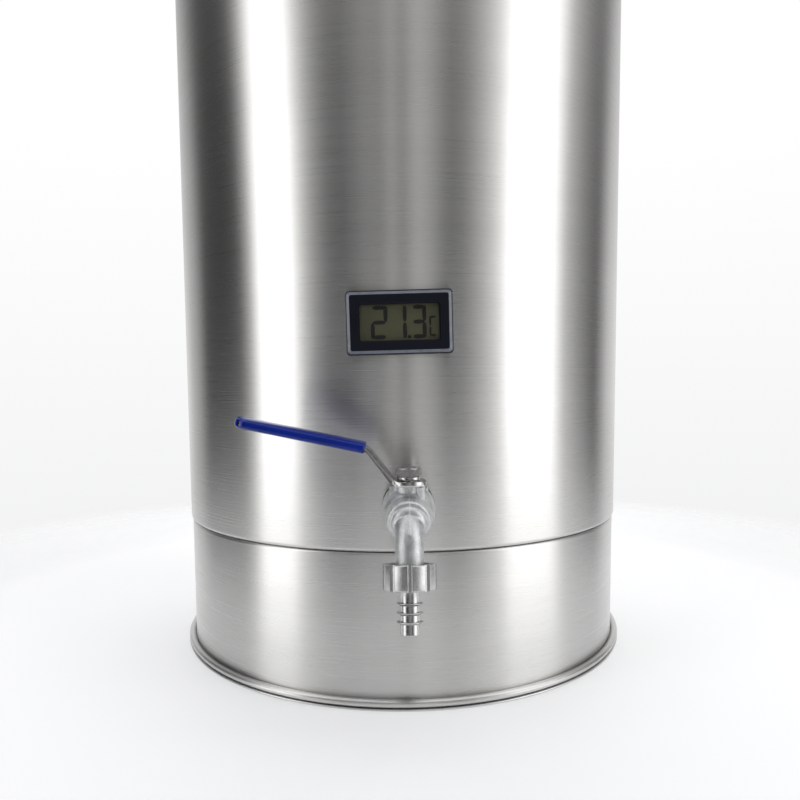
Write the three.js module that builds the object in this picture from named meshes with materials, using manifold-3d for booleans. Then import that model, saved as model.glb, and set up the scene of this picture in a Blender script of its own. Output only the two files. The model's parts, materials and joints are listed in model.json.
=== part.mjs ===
// Electric brew kettle: a double-walled vessel on a closed base, with a panel thermometer and a ball-valve tap.
// Millimetres, +Z up. The origin is on the vessel's axis, on the surface that the kettle stands on.
// The tap and the thermometer face -Y, and the controls are on the back, towards +Y.
import * as THREE from "three";
import { mergeVertices } from "three/addons/utils/BufferGeometryUtils.js";
import Module from "manifold-3d";

const wasm = await Module();
wasm.setup();

// ---------- driving dimensions ----------
const GAP = 0.3; // clearance between neighbouring pieces
const SHEET = 1; // sheet steel of the vessel, jacket, skirt and lid
const RING_SEGMENTS = 40; // facets round the large sheet-metal rings

const JACKET_R = 130.3; // outside of the jacket
const SKIRT_R = 129.5; // outside of the base skirt
const SEAM_Z = 74; // where the jacket meets the skirt
const RIM_Z = 455; // top face of the vessel's rim
const VESSEL_R = 115; // outside of the inner vessel
const VESSEL_BOTTOM_Z = 70;
const RIM_BEAD_R = 2.1; // section radius of the rolled rim
const HEM_BEAD_R = 1.9; // section radius of the skirt's rolled hem
const HEM_R = 133.6; // outermost radius of the hem and of the base plate
const BASE_PLATE_T = 0.9;
const FLANGE_R = 117; // inner edge of the flanges that join jacket and skirt

const METER_X = -0.9; // the thermometer sits a little off the centre line
const METER_Z = 178.9;
const METER_TILT_DEG = 1.1;
const METER_W = 48;
const METER_H = 28.6;
const METER_DEPTH = 15.2;
const METER_PROUD = 2.7; // how far the bezel stands in front of the jacket
const METER_WINDOW = [35.4, 16];

const TAP_X = 2.4;
const TAP_Z = 95.8;
const BARREL_R = 11.7; // round barrel that holds the ball
const STEM_Y = -15.5; // stem axis, measured out from the jacket
const BALL_R = 7;
const SPOUT_R = 6.1;
const SPOUT_LEAN_DEG = 11; // how far the spout leans out from the vertical
const SPOUT_TOP = [-29.3, -10.9]; // y and z where the bend ends and the straight spout starts
const SPOUT_BEND_R = 12;
const UNION_R = 11.1;
const TAIL_R = 4.15;

const LEVER_T = 2; // thickness of the lever's flat bar
const LEVER_Z = 13.2; // mid-plane of the lever's hub above the tap axis
const GRIP_T = 5.2;
const GRIP_W = 13.6;

const HANDLE_Z = 424;
const HANDLE_OUT = 38; // from the jacket to the grip's centre line
const HANDLE_SPREAD = 52; // from the middle of a handle to each foot

const KNOB_AZIMUTH_DEG = -36; // positions round the back, from +Y towards +X
const SWITCH_AZIMUTH_DEG = 27; // a whole number of wall facets, so the bezels fit the skirt
const CONTROLS_Z = 38;

// ---------- helpers: solids, sections and placing ----------
const rad = THREE.MathUtils.degToRad;

function solid(geometry) {
  const bare = geometry.index ? geometry.toNonIndexed() : geometry.clone();
  bare.deleteAttribute("normal");
  bare.deleteAttribute("uv");
  const merged = mergeVertices(bare, 1e-4);
  const vertProperties = merged.attributes.position.array;
  const triVerts = new Uint32Array(merged.index.array);
  return new wasm.Manifold(new wasm.Mesh({ numProp: 3, vertProperties, triVerts }));
}

function geometryOf(made) {
  const mesh = made.getMesh();
  const geometry = new THREE.BufferGeometry();
  geometry.setAttribute("position", new THREE.Float32BufferAttribute(mesh.vertProperties, 3));
  geometry.setIndex(new THREE.Uint32BufferAttribute(mesh.triVerts, 1));
  const flat = geometry.toNonIndexed();
  flat.computeVertexNormals();
  return flat;
}

const union = (...parts) => parts.reduce((a, b) => a.add(b));
const cut = (whole, ...parts) => parts.reduce((a, b) => a.subtract(b), whole);

// A body of revolution about Z from [r, z] points that run anticlockwise round the section.
function lathe(points, segments = 32) {
  const profile = points.map(([r, z]) => new THREE.Vector2(r, z));
  if (points[0][0] > 0) profile.push(profile[0].clone());
  return solid(new THREE.LatheGeometry(profile, segments).rotateX(Math.PI / 2));
}

const disc = (r, z0, z1, segments = 32) => lathe([[0, z0], [r, z0], [r, z1], [0, z1]], segments);

function ring(inner, outer, z0, z1, segments = 32) {
  return lathe([[inner, z0], [outer, z0], [outer, z1], [inner, z1]], segments);
}

function block(x0, x1, y0, y1, z0, z1) {
  const box = new THREE.BoxGeometry(x1 - x0, y1 - y0, z1 - z0);
  return solid(box.translate((x0 + x1) / 2, (y0 + y1) / 2, (z0 + z1) / 2));
}

// Turns a solid whose axis is Z so that the axis points along -Y, outwards at the front.
const facingFront = (made) => made.rotate([90, 0, 0]);

// Turns a solid whose axis is Z so that the axis points along +Y, outwards at the back.
const facingBack = (made) => made.rotate([-90, 0, 0]);

// Points of an arc in a section plane, from one angle to another in degrees.
function arc(centre, radius, from, to, steps) {
  return Array.from({ length: steps + 1 }, (_, i) => {
    const a = rad(from + ((to - from) * i) / steps);
    return [centre[0] + radius * Math.cos(a), centre[1] + radius * Math.sin(a)];
  });
}

// The closed outline of a sheet of thickness t whose mid-line is the path.
function sheetOutline(path, t) {
  const side = (sign) =>
    path.map((p, i) => {
      const before = path[Math.max(i - 1, 0)];
      const after = path[Math.min(i + 1, path.length - 1)];
      const inDir = i ? norm(p[0] - before[0], p[1] - before[1]) : null;
      const outDir = i < path.length - 1 ? norm(after[0] - p[0], after[1] - p[1]) : inDir;
      const a = inDir ?? outDir;
      const mid = norm(a[0] + outDir[0], a[1] + outDir[1]);
      const reach = t / 2 / (mid[0] * a[0] + mid[1] * a[1]);
      return [p[0] + sign * mid[1] * reach, p[1] - sign * mid[0] * reach];
    });
  return [...side(1), ...side(-1).reverse()];
}

function norm(x, y) {
  const length = Math.hypot(x, y);
  return [x / length, y / length];
}

function shapeOf(points) {
  return new THREE.Shape(points.map(([x, y]) => new THREE.Vector2(x, y)));
}

// A prism of an outline in X and Y, between two heights.
function prism(points, z0, z1) {
  const geometry = new THREE.ExtrudeGeometry(shapeOf(points), { depth: z1 - z0, bevelEnabled: false });
  return solid(geometry.translate(0, 0, z0));
}

// A prism of an outline in X and Z, between two values of Y.
const prismAlongY = (points, y0, y1) => prism(points, -y1, -y0).rotate([90, 0, 0]);

// A round bar along a curve.
function bar(curve, radius, steps, sides = 10) {
  const section = new THREE.Shape();
  section.absarc(0, 0, radius, 0, Math.PI * 2);
  const options = { steps, extrudePath: curve, curveSegments: sides };
  return solid(new THREE.ExtrudeGeometry(section, options));
}

const smooth = (points) => new THREE.CatmullRomCurve3(points.map((p) => new THREE.Vector3(...p)));

function roundedBox(w, h, r, steps = 3) {
  const corners = [[1, 1, 0], [-1, 1, 90], [-1, -1, 180], [1, -1, 270]];
  return corners.flatMap(([sx, sy, a]) => arc([sx * (w / 2 - r), sy * (h / 2 - r)], r, a, a + 90, steps));
}

function hexagon(acrossFlats) {
  const r = acrossFlats / 2 / Math.cos(rad(30));
  return Array.from({ length: 6 }, (_, i) => [r * Math.cos(rad(60 * i)), r * Math.sin(rad(60 * i))]);
}

// A material for each finish; every mesh gets its own copy.
const FINISHES = {
  brushed_steel: [0xc9cacb, 0.32, 1],
  polished_steel: [0xd6d7d8, 0.16, 1],
  cast_steel: [0xb9bbbd, 0.48, 1],
  aluminium: [0xc2c4c6, 0.5, 1],
  black_plastic: [0x15161b, 0.35, 0],
  phenolic: [0x101011, 0.3, 0],
  clear_plastic: [0xcfd6cf, 0.08, 0],
  display: [0x55573a, 0.3, 0],
  circuit: [0x1f5a34, 0.6, 0],
  rubber: [0x141414, 0.8, 0],
  silicone: [0xdddcd6, 0.6, 0],
  ptfe: [0xf0f0ee, 0.55, 0],
  blue_vinyl: [0x1c37a8, 0.3, 0],
  insulation: [0xd9cf9a, 0.95, 0],
  brass: [0xb08d45, 0.35, 1],
  lead: [0x202020, 0.6, 0],
};

function piece(name, finish, made) {
  const [color, roughness, metalness] = FINISHES[finish];
  const material = new THREE.MeshStandardMaterial({ color, roughness, metalness });
  const mesh = new THREE.Mesh(geometryOf(made), material);
  mesh.name = name;
  return mesh;
}

function groupAt(x, y, z, ...children) {
  const group = new THREE.Group();
  group.position.set(x, y, z);
  group.add(...children);
  return group;
}

// A long cylinder on the vessel's axis, used to fit a flat piece to the round walls.
const wallCylinder = (r) => disc(r, -50, RIM_Z + 50, RING_SEGMENTS);

// ---------- vessel, jacket, base ----------
const VESSEL_INNER_R = VESSEL_R - SHEET;
const JACKET_INNER_R = JACKET_R - SHEET;
const SKIRT_INNER_R = SKIRT_R - SHEET;
const LOCK_NUT_AF = 27;
const NIPPLE_R = 8.2;
const THERMOWELL = { x: -38, z: 140, r: 4, depth: 42 };

// A hole for the tap's nipple through a wall at the front.
const tapHole = (r) => facingFront(disc(r, 60, 160, 20)).translate([TAP_X, 0, TAP_Z]);

function meterHole(margin) {
  const outline = roundedBox(METER_W - 2 + margin, METER_H - 2 + margin, 1);
  return prismAlongY(outline, -JACKET_R - 5, -VESSEL_R - 0.5)
    .rotate([0, -METER_TILT_DEG, 0])
    .translate([METER_X, 0, METER_Z]);
}

function innerVessel() {
  const middle = VESSEL_R - SHEET / 2;
  const bend = 10;
  const bottom = VESSEL_BOTTOM_Z + SHEET / 2;
  const rim = RIM_Z - SHEET / 2;
  const beadR = JACKET_R + 0.5 + RIM_BEAD_R;
  const wall = sheetOutline(
    [
      [0, bottom],
      ...arc([middle - bend, bottom + bend], bend, -90, 0, 2),
      [middle, rim - 3],
      [middle + 3, rim],
      [beadR, rim],
    ],
    SHEET,
  );
  wall[0][0] = 0;
  wall[wall.length - 1][0] = 0;
  const bead = arc([beadR, RIM_Z - RIM_BEAD_R], RIM_BEAD_R, 0, 360, 6).slice(1);
  const rolled = union(lathe(wall, RING_SEGMENTS), lathe(bead, RING_SEGMENTS));
  const well = facingFront(disc(THERMOWELL.r + GAP, 60, 160)).translate([THERMOWELL.x, 0, THERMOWELL.z]);
  return cut(rolled, tapHole(NIPPLE_R + GAP), well);
}

function outerJacket() {
  const middle = JACKET_R - SHEET / 2;
  const bend = 1.6;
  const flange = SEAM_Z + 0.1 + SHEET / 2;
  const path = [
    [FLANGE_R, flange],
    ...arc([middle - bend, flange + bend], bend, -90, 0, 2),
    [middle, RIM_Z - SHEET - 0.4],
  ];
  const shell = lathe(sheetOutline(path, SHEET), RING_SEGMENTS);
  return cut(shell, tapHole(NIPPLE_R + GAP), meterHole(0.8), ...handleHoles());
}

function handleHoles(r = 2.6) {
  return HANDLE_FEET.map(([side, y]) =>
    disc(r, 0, 40, 12).rotate([0, 90 * side, 0]).translate([side * (JACKET_R - 30), y, HANDLE_Z]),
  );
}

function insulationSleeve() {
  const sleeve = ring(VESSEL_R + 3.4, JACKET_INNER_R - 0.6, SEAM_Z + 4, RIM_Z - 14, RING_SEGMENTS);
  const spacer = tapHole(SPACER_R + 1);
  const well = facingFront(disc(THERMOWELL.r + 4, 100, 140)).translate([THERMOWELL.x, 0, THERMOWELL.z]);
  return cut(sleeve, spacer, well, meterHole(2), ...handleHoles(6));
}

function baseSkirt() {
  const middle = SKIRT_R - SHEET / 2;
  const beadCentre = [HEM_R - HEM_BEAD_R, BASE_PLATE_T + GAP + HEM_BEAD_R];
  const top = SEAM_Z - GAP - SHEET / 2;
  const curl = [beadCentre[0], beadCentre[1] - HEM_BEAD_R + SHEET / 2];
  const path = [[FLANGE_R, top], [middle, top], [middle, curl[1]], curl];
  const wall = lathe(sheetOutline(path, SHEET), RING_SEGMENTS);
  const bead = lathe(arc(beadCentre, HEM_BEAD_R, 0, 360, 6).slice(1), RING_SEGMENTS);
  return cut(
    union(wall, bead),
    prismAlongY(roundedBox(31, 23, 1, 1), 110, 140).translate([0, 0, CONTROLS_Z]),
    ...[-20, 20].map((x) => facingBack(disc(1.8, 110, 140, 8)).translate([x, 0, CONTROLS_Z])),
    atAzimuth(facingBack(disc(5, 110, 140, 12)), KNOB_AZIMUTH_DEG),
    atAzimuth(facingBack(disc(SWITCH.body + GAP, 110, 140, 20)), SWITCH_AZIMUTH_DEG),
  );
}

// Places a solid that was made at the back, facing +Y, round the base at a control's azimuth and height.
const atAzimuth = (made, degrees) => made.rotate([0, 0, -degrees]).translate([0, 0, CONTROLS_Z]);

function basePlate() {
  const slots = Array.from({ length: 12 }, (_, i) =>
    block(59, 81, -2, 2, -1, 4).rotate([0, 0, 30 * i]),
  );
  const inside = SKIRT_INNER_R - 1;
  const lip = ring(inside - SHEET, inside, 0, 9, RING_SEGMENTS);
  return union(cut(disc(HEM_R, 0, BASE_PLATE_T, RING_SEGMENTS), ...slots), lip);
}

// ---------- lid and its knob ----------
const LID_TOP_Z = RIM_Z + 17;

function lid() {
  const seat = RIM_Z + GAP + SHEET / 2;
  const path = [
    [0, LID_TOP_Z - SHEET / 2],
    [50, LID_TOP_Z - 2],
    [98, LID_TOP_Z - 8],
    [110, seat - 6],
    [112.4, seat - 6],
    [113, seat],
    [132, seat],
    [133, seat + 2.4],
  ];
  const outline = sheetOutline(path, SHEET);
  outline[0][0] = 0;
  outline[outline.length - 1][0] = 0;
  return cut(lathe(outline, RING_SEGMENTS), disc(2.9, RIM_Z, RIM_Z + 30));
}

function lidKnob() {
  const base = LID_TOP_Z + 2;
  const profile = [
    [0, base],
    [11, base],
    ...arc([19.5, base + 9], 9.5, 215, 150, 3),
    ...arc([15.5, base + 21], 5.5, -60, 80, 3),
    [8, base + 28],
    [0, base + 28.6],
  ];
  return cut(lathe(profile, 24), disc(2.7, base - 1, base + 17, 12));
}

function lidPieces() {
  const under = LID_TOP_Z - SHEET - GAP;
  const screw = union(disc(2.4, under, LID_TOP_Z + 17, 16), disc(4.8, under - 3, under, 20));
  return [
    piece("lid", "brushed_steel", lid()),
    piece("lid_knob", "phenolic", lidKnob()),
    piece("lid_knob_washer", "polished_steel", ring(2.9, 14, LID_TOP_Z + GAP, LID_TOP_Z + 1.6, 24)),
    piece("lid_knob_screw", "polished_steel", screw),
  ];
}

// ---------- side handles ----------
const HANDLE_FEET = [1, -1].flatMap((side) => [1, -1].map((end) => [side, end * HANDLE_SPREAD]));
const HANDLE_BAR_R = 4.5;
const HANDLE_GRIP_R = 8.5;
const FOOT_W = 26; // width and height of a foot plate

// A handle on the +X side; the other is the same piece turned half round.
function handleBar() {
  const out = JACKET_R + HANDLE_OUT;
  const foot = JACKET_R - 12;
  const half = HANDLE_SPREAD;
  const bend = 14;
  const straight = (a, b) => new THREE.LineCurve3(new THREE.Vector3(...a), new THREE.Vector3(...b));
  const corner = (...ends) => new THREE.QuadraticBezierCurve3(...ends.map((p) => new THREE.Vector3(...p)));
  const loop = union(
    bar(straight([foot, -half, 0], [out - bend, -half, 0]), HANDLE_BAR_R, 1),
    bar(corner([out - bend, -half, 0], [out, -half, 0], [out, bend - half, 0]), HANDLE_BAR_R, 3),
    bar(straight([out, bend - half, 0], [out, half - bend, 0]), HANDLE_BAR_R, 1),
    bar(corner([out, half - bend, 0], [out, half, 0], [out - bend, half, 0]), HANDLE_BAR_R, 3),
    bar(straight([out - bend, half, 0], [foot, half, 0]), HANDLE_BAR_R, 1),
  );
  const skin = cut(wallCylinder(JACKET_R + 2.6), wallCylinder(JACKET_R + GAP)).translate([0, 0, -HANDLE_Z]);
  const feet = [-1, 1].map((end) => {
    const plate = prism(roundedBox(FOOT_W, FOOT_W, 6, 2), 0, 40).rotate([0, 90, 0]);
    return plate.translate([foot - 10, end * half, 0]).intersect(skin);
  });
  const tapped = [-1, 1].map((end) =>
    disc(2.6, 0, 28, 12).rotate([0, 90, 0]).translate([foot - 10, end * half, 0]),
  );
  const inside = wallCylinder(JACKET_R + GAP).translate([0, 0, -HANDLE_Z]);
  return cut(union(loop, ...feet), inside, ...tapped);
}

function handleGrip() {
  const half = HANDLE_SPREAD - 19;
  const profile = [
    [HANDLE_BAR_R + GAP, -half],
    [HANDLE_GRIP_R - 2, -half],
    [HANDLE_GRIP_R - 0.5, 3 - half],
    [HANDLE_GRIP_R, 0],
    [HANDLE_GRIP_R - 0.5, half - 3],
    [HANDLE_GRIP_R - 2, half],
    [HANDLE_BAR_R + GAP, half],
  ];
  return lathe(profile, 20).rotate([90, 0, 0]).translate([JACKET_R + HANDLE_OUT, 0, 0]);
}

function handleSide(name, turn) {
  const side = groupAt(
    0,
    0,
    HANDLE_Z,
    piece("handle_" + name, "polished_steel", handleBar()),
    piece("handle_grip_" + name, "phenolic", handleGrip()),
  );
  side.rotation.z = turn;
  return side;
}

// A screw from inside the jacket into the end of a handle's bar; it points along +X or -X.
function handleScrew(side) {
  const screw = union(disc(4.4, 0, 2.6, 16), disc(2.2, 0, 17, 12));
  return screw.rotate([0, 90 * side, 0]);
}

function handleScrews() {
  return HANDLE_FEET.map(([side, y]) => {
    const name = ["handle_screw", side > 0 ? "right" : "left", y > 0 ? "back" : "front"].join("_");
    const x = Math.sqrt((JACKET_INNER_R - GAP) ** 2 - (Math.abs(y) + 4.4) ** 2) - 2.9;
    const mesh = piece(name, "polished_steel", handleScrew(side));
    mesh.position.set(side * x, y, HANDLE_Z);
    return mesh;
  });
}

// ---------- thermometer: built facing -Y, with the jacket's front line at y = 0 ----------
function meterCase() {
  const front = -METER_PROUD;
  const back = METER_DEPTH - METER_PROUD;
  const outer = roundedBox(METER_W, METER_H, 1.6);
  const flange = prismAlongY(outer, front + 1.15, -GAP);
  const bevel = facingFront(frustum(outer, 0.955, 1.2)).translate([0, front + 1.2, 0]);
  const box = prismAlongY(roundedBox(METER_W - 2.8, METER_H - 2.8, 1), -GAP - 0.1, back);
  const hollow = prismAlongY(roundedBox(METER_W - 5.2, METER_H - 5.2, 0.6), front + 1.9, back + 1);
  const window = prismAlongY(roundedBox(...METER_WINDOW, 0.6), front - 1, back);
  return cut(union(flange, bevel, box), hollow, window);
}

// A prism whose far end is scaled, for bevelled edges; it grows along +Z.
function frustum(points, scale, depth) {
  const geometry = new THREE.ExtrudeGeometry(shapeOf(points), { depth, bevelEnabled: false });
  const at = geometry.getAttribute("position");
  for (let i = 0; i < at.count; i++) {
    if (at.getZ(i) > depth / 2) at.setXY(i, at.getX(i) * scale, at.getY(i) * scale);
  }
  return solid(geometry);
}

function meter() {
  const inner = (w, h, y0, y1) => prismAlongY(roundedBox(w, h, 0.5), y0, y1);
  const w = METER_W - 6;
  const h = METER_H - 6;
  const front = 1.9 - METER_PROUD;
  const cell = (x) => facingFront(disc(5.8, 0, 5.4, 24)).translate([x, front + 10.8, -4]);
  const group = groupAt(
    METER_X,
    -JACKET_R,
    METER_Z,
    piece("meter_case", "black_plastic", meterCase()),
    piece("meter_window", "clear_plastic", inner(w, h, front + GAP, front + 1)),
    piece("meter_display", "display", inner(w - 2, h - 2, front + 1.3, front + 3)),
    piece("meter_board", "circuit", inner(w, h, front + 3.3, front + 4.6)),
    piece("meter_cell_left", "polished_steel", cell(-8)),
    piece("meter_cell_right", "polished_steel", cell(8)),
    piece("meter_cover", "black_plastic", inner(w, h, front + 11.2, front + 12.4)),
  );
  group.rotation.y = rad(-METER_TILT_DEG);
  return group;
}

// The sensor's pocket through the inner wall, its probe, and the lead back to the thermometer.
function sensorPieces() {
  const { x, z, r, depth } = THERMOWELL;
  const tube = cut(facingFront(disc(r, 0, depth, 14)), facingFront(disc(r - 1, 1.5, depth + 1, 14)));
  const skirt = facingFront(ring(r - 1, r + 3, depth - 7.3, depth - 6.1, 14));
  const inset = -VESSEL_R + 9.6;
  const well = cut(union(tube, skirt).translate([x, inset + depth - 4, z]));
  const probe = facingFront(disc(r - 1 - GAP, 0, 24, 16)).translate([x, inset + depth - 6, z]);
  const start = [x, inset + depth - 30.4, z];
  return [
    piece("thermowell", "polished_steel", well),
    piece("sensor_probe", "polished_steel", probe),
    piece("sensor_lead", "lead", sensorLead(start)),
  ];
}

function sensorLead([x, y, z]) {
  const r = VESSEL_R + 1.8;
  const onWall = (px, pz) => [px, -Math.sqrt(r * r - px * px), pz];
  const points = [
    [x, y, z],
    [x, y - 9, z],
    [x, y - 16, z + 1],
    [x, y - 17.6, z + 5],
    onWall(x, z + 12),
    onWall(x + 2, z + 24),
    onWall(x + 12, METER_Z - 5),
    onWall(x + 26, METER_Z),
  ];
  return bar(smooth(points), 1, 14, 5);
}

// ---------- tap: built from the jacket's front line at y = 0, on the axis of its nipple ----------
const SPACER_R = 12.5;
const SPOUT_DIR = [-Math.sin(rad(SPOUT_LEAN_DEG)), -Math.cos(rad(SPOUT_LEAN_DEG))];
const spoutPlace = (made) => made.rotate([-SPOUT_LEAN_DEG, 0, 0]).translate([0, ...SPOUT_TOP]);
const nearWall = (r) => wallCylinder(r).translate([-TAP_X, JACKET_R, -TAP_Z]);

function spoutBend(radius, fromDeg, sides) {
  const [y, z] = SPOUT_TOP;
  const centre = [y - SPOUT_BEND_R * SPOUT_DIR[1], z + SPOUT_BEND_R * SPOUT_DIR[0]];
  const steps = 8;
  const last = 90 - SPOUT_LEAN_DEG;
  const points = Array.from({ length: steps + 1 }, (_, i) => {
    const a = rad(fromDeg + ((last - fromDeg) * i) / steps);
    return [0, centre[0] - SPOUT_BEND_R * Math.sin(a), centre[1] + SPOUT_BEND_R * Math.cos(a)];
  });
  const reach = 2;
  points.push([0, SPOUT_TOP[0] + reach * SPOUT_DIR[0], SPOUT_TOP[1] + reach * SPOUT_DIR[1]]);
  return bar(smooth(points), radius, 9, sides);
}

// The cast body: a round barrel with a domed front, a bonnet for the stem, and a bent spout.
function tapBody() {
  const barrel = facingFront(
    lathe(
      [
        [0, 2.7],
        [BARREL_R + 0.2, 2.7],
        [BARREL_R + 0.2, 6],
        [BARREL_R - 0.6, 7.2],
        [BARREL_R, 8.6],
        [BARREL_R, 14],
        ...arc([0, 14], BARREL_R, 20, 60, 3),
        [0, 24],
      ],
      20,
    ),
  );
  const shoulder = facingFront(lathe([[0, 0], [BARREL_R, 0], [9.7, 11], [7.2, 13.4], [0, 14.4]], 20))
    .rotate([14, 0, 0])
    .translate([0, -13, 0]);
  const bonnet = union(disc(5.8, 5, 11.9, 16), disc(7.4, 5, 9.2, 16));
  const ears = [-42, 132, 180].map((a) => block(5.6, 8.4, -1.3, 1.3, 7, 11.9).rotate([0, 0, a]));
  const upper = union(bonnet, ...ears).translate([0, STEM_Y, 0]);
  const pipe = spoutPlace(union(disc(SPOUT_R, -13, 0.1, 12), ring(3, 8.1, -13, -9, 16)));
  const outside = union(barrel, shoulder, upper, spoutBend(SPOUT_R, 8, 12), pipe);
  const chamber = facingFront(union(disc(8.5, 2, 8, 20), disc(7.5, 7.9, 22.4, 20), disc(4.2, 22, 26, 12)));
  const passage = union(spoutBend(4.2, 14, 8), spoutPlace(disc(4.2, -14, 1, 8)));
  const stemHole = disc(4.9, 4, 13, 16).translate([0, STEM_Y, 0]);
  return cut(outside, chamber, passage, stemHole, stopPath());
}

// The quarter turn of clear space round the bonnet in which the lever's stop moves.
function stopPath() {
  const sector = prism([[0, 0], ...arc([0, 0], 14, -28, 118, 8)], 9.4, 13);
  return sector.intersect(ring(5.8, 9.3, 9, 14)).translate([0, STEM_Y, 0]);
}

function tapNipple() {
  const tube = cut(disc(NIPPLE_R, -27, 7.6, 24), disc(4.2, -28, 9, 20));
  return facingFront(tube);
}

function seat(from, to) {
  const pocket = new THREE.SphereGeometry(BALL_R + GAP, 16, 10).translate(0, STEM_Y, 0);
  return cut(facingFront(ring(3.6, 7.1, from, to, 24)), solid(pocket));
}

// The ball's bore lies along X: the tap is shut while its lever points to -X.
function valveBall() {
  const ball = solid(new THREE.SphereGeometry(BALL_R, 16, 10));
  const bore = disc(3.4, -10, 10, 12).rotate([0, 90, 0]);
  return cut(ball, bore, block(-1.7, 1.7, -9, 9, 4.9, 9));
}

function valveStem() {
  const tang = block(-1.35, 1.35, -2.8, 2.8, 5.2, 7.4);
  return union(tang, disc(4.5, 7.3, 8.3, 20), disc(2.9, 8, 19.7, 20));
}

const LEVER_BEND = [-6.3, LEVER_Z];
const LEVER_KNEE = [-17.6, 28.2];
const LEVER_TIP = [-71.4, 39.7];

// The lever's flat bar: a hub on the stem, with one end turned down as a stop, and a cranked arm.
function leverArm() {
  const side = sheetOutline([[7.4, 9.8], [7.4, LEVER_Z], LEVER_BEND, LEVER_KNEE, LEVER_TIP], LEVER_T);
  const strip = prismAlongY(side, -8, 8);
  const hub = disc(8.4, 0, 20, 32);
  const arm = prism([[-72, -5], [-4, -5.6], [-4, 5.6], [-72, 5]], 0, 50);
  const stop = block(6, 9, -3, 3, 5, 20);
  const plan = union(cut(hub, block(6.2, 9, -9, 9, -1, 12)), arm, stop);
  return cut(strip.intersect(plan), disc(3.2, 5, 20, 20));
}

// The dipped vinyl grip, a rounded sleeve over the lever's arm.
function leverGrip() {
  const [kx, kz] = LEVER_KNEE;
  const [tx, tz] = LEVER_TIP;
  const length = Math.hypot(tx - kx, tz - kz);
  const slope = THREE.MathUtils.radToDeg(Math.atan2(tz - kz, kx - tx));
  const sleeve = prism(roundedBox(GRIP_T, GRIP_W, GRIP_T / 2 - 0.1, 5), 0.8, length + 3);
  const plan = union(
    block(-9, 9, -GRIP_W, GRIP_W, -1, length - 4),
    disc(GRIP_W / 2 + 0.3, -9, 9, 32).rotate([0, 90, 0]).translate([0, 0, length - 4]),
  );
  const slot = block(-LEVER_T / 2 - GAP, LEVER_T / 2 + GAP, -6, 6, -1, length + 0.6);
  return cut(sleeve.intersect(plan), slot).rotate([0, -90 + slope, 0]).translate([kx, 0, kz]);
}

function leverPieces() {
  const washer = ring(3.2, 5, LEVER_Z + 1.3, LEVER_Z + 2.7, 24);
  const nut = cut(prism(hexagon(10), 0, 3.5), disc(3.2, -1, 5, 20)).translate([0, 0, LEVER_Z + 3]);
  return groupAt(
    0,
    STEM_Y,
    0,
    piece("valve_ball", "polished_steel", valveBall()),
    piece("valve_stem", "polished_steel", valveStem()),
    piece("stem_seal", "ptfe", ring(3.2, 4.6, 8.6, 11.6, 20)),
    piece("lever_arm", "polished_steel", leverArm()),
    piece("lever_grip", "blue_vinyl", leverGrip()),
    piece("lever_washer", "polished_steel", washer),
    piece("stem_nut", "polished_steel", nut),
  );
}

// The union nut: nine lobes with a narrow groove between them.
function unionNut() {
  const bodyZ = [-18.5, -7.9];
  const lobes = Array.from({ length: 9 }, (_, i) =>
    disc(1.4, -20, -6, 8).translate([UNION_R + 0.1, 0, 0]).rotate([0, 0, 40 * i - 90]),
  );
  const round = lathe(
    [
      [0, bodyZ[0]],
      [UNION_R - 0.5, bodyZ[0]],
      [UNION_R, bodyZ[0] + 0.5],
      [UNION_R, bodyZ[1] - 0.5],
      [UNION_R - 0.5, bodyZ[1]],
      [0, bodyZ[1]],
    ],
    32,
  );
  return cut(round, ...lobes, disc(8.5, -16.4, -6, 20), disc(TAIL_R + 0.4, -20, -6, 24));
}

function hoseTail() {
  const barbs = [-23.6, -27.4, -31.1].flatMap((z) => [
    [TAIL_R, z - 1.2],
    [TAIL_R + 1.4, z - 0.4],
    [TAIL_R + 1.4, z],
    [TAIL_R, z + 0.1],
  ]);
  const outside = [
    [2.9, -36.5],
    [TAIL_R, -36.5],
    ...barbs.sort((a, b) => a[1] - b[1]),
    [TAIL_R, -16],
    [7.9, -16],
    [7.9, -14.2],
    [2.9, -14.2],
  ];
  return lathe(outside, 14);
}

function spoutPieces() {
  const group = groupAt(
    0,
    ...SPOUT_TOP,
    piece("union_nut", "cast_steel", unionNut()),
    piece("tail_washer", "silicone", ring(3.2, 7.9, -13.9, -13.3, 24)),
    piece("hose_tail", "polished_steel", hoseTail()),
  );
  group.rotation.x = rad(-SPOUT_LEAN_DEG);
  return group;
}

function tap() {
  const gasket = cut(facingFront(ring(NIPPLE_R + GAP, 12, -2, 2.4, 32)), nearWall(JACKET_R + GAP));
  const between = cut(nearWall(JACKET_INNER_R - GAP), nearWall(VESSEL_R + GAP));
  const spacer = facingFront(ring(NIPPLE_R + GAP, SPACER_R, -40, 10, 32)).intersect(between);
  const seal = facingFront(ring(NIPPLE_R + GAP, 14, -19, -14, 32)).intersect(nearWall(VESSEL_INNER_R - GAP));
  const nut = facingFront(cut(prism(hexagon(LOCK_NUT_AF), -25.3, -19.3), disc(NIPPLE_R + GAP, -26, -19, 24)));
  return groupAt(
    TAP_X,
    -JACKET_R,
    TAP_Z,
    piece("tap_gasket", "rubber", gasket),
    piece("tap_body", "cast_steel", tapBody()),
    piece("tap_nipple", "polished_steel", tapNipple()),
    piece("bulkhead_spacer", "polished_steel", spacer),
    piece("inner_seal", "silicone", seal),
    piece("lock_nut", "polished_steel", nut),
    piece("seat_rear", "ptfe", seat(7.9, 11)),
    piece("seat_front", "ptfe", seat(20, 22.1)),
    leverPieces(),
    spoutPieces(),
  );
}

// ---------- heating and controls in the base ----------
const SWITCH = { bezel: 11.5, body: 9.8 };
const FACE_Y = SKIRT_R + 3.8; // front of the control bezels, measured from the vessel's axis

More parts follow.
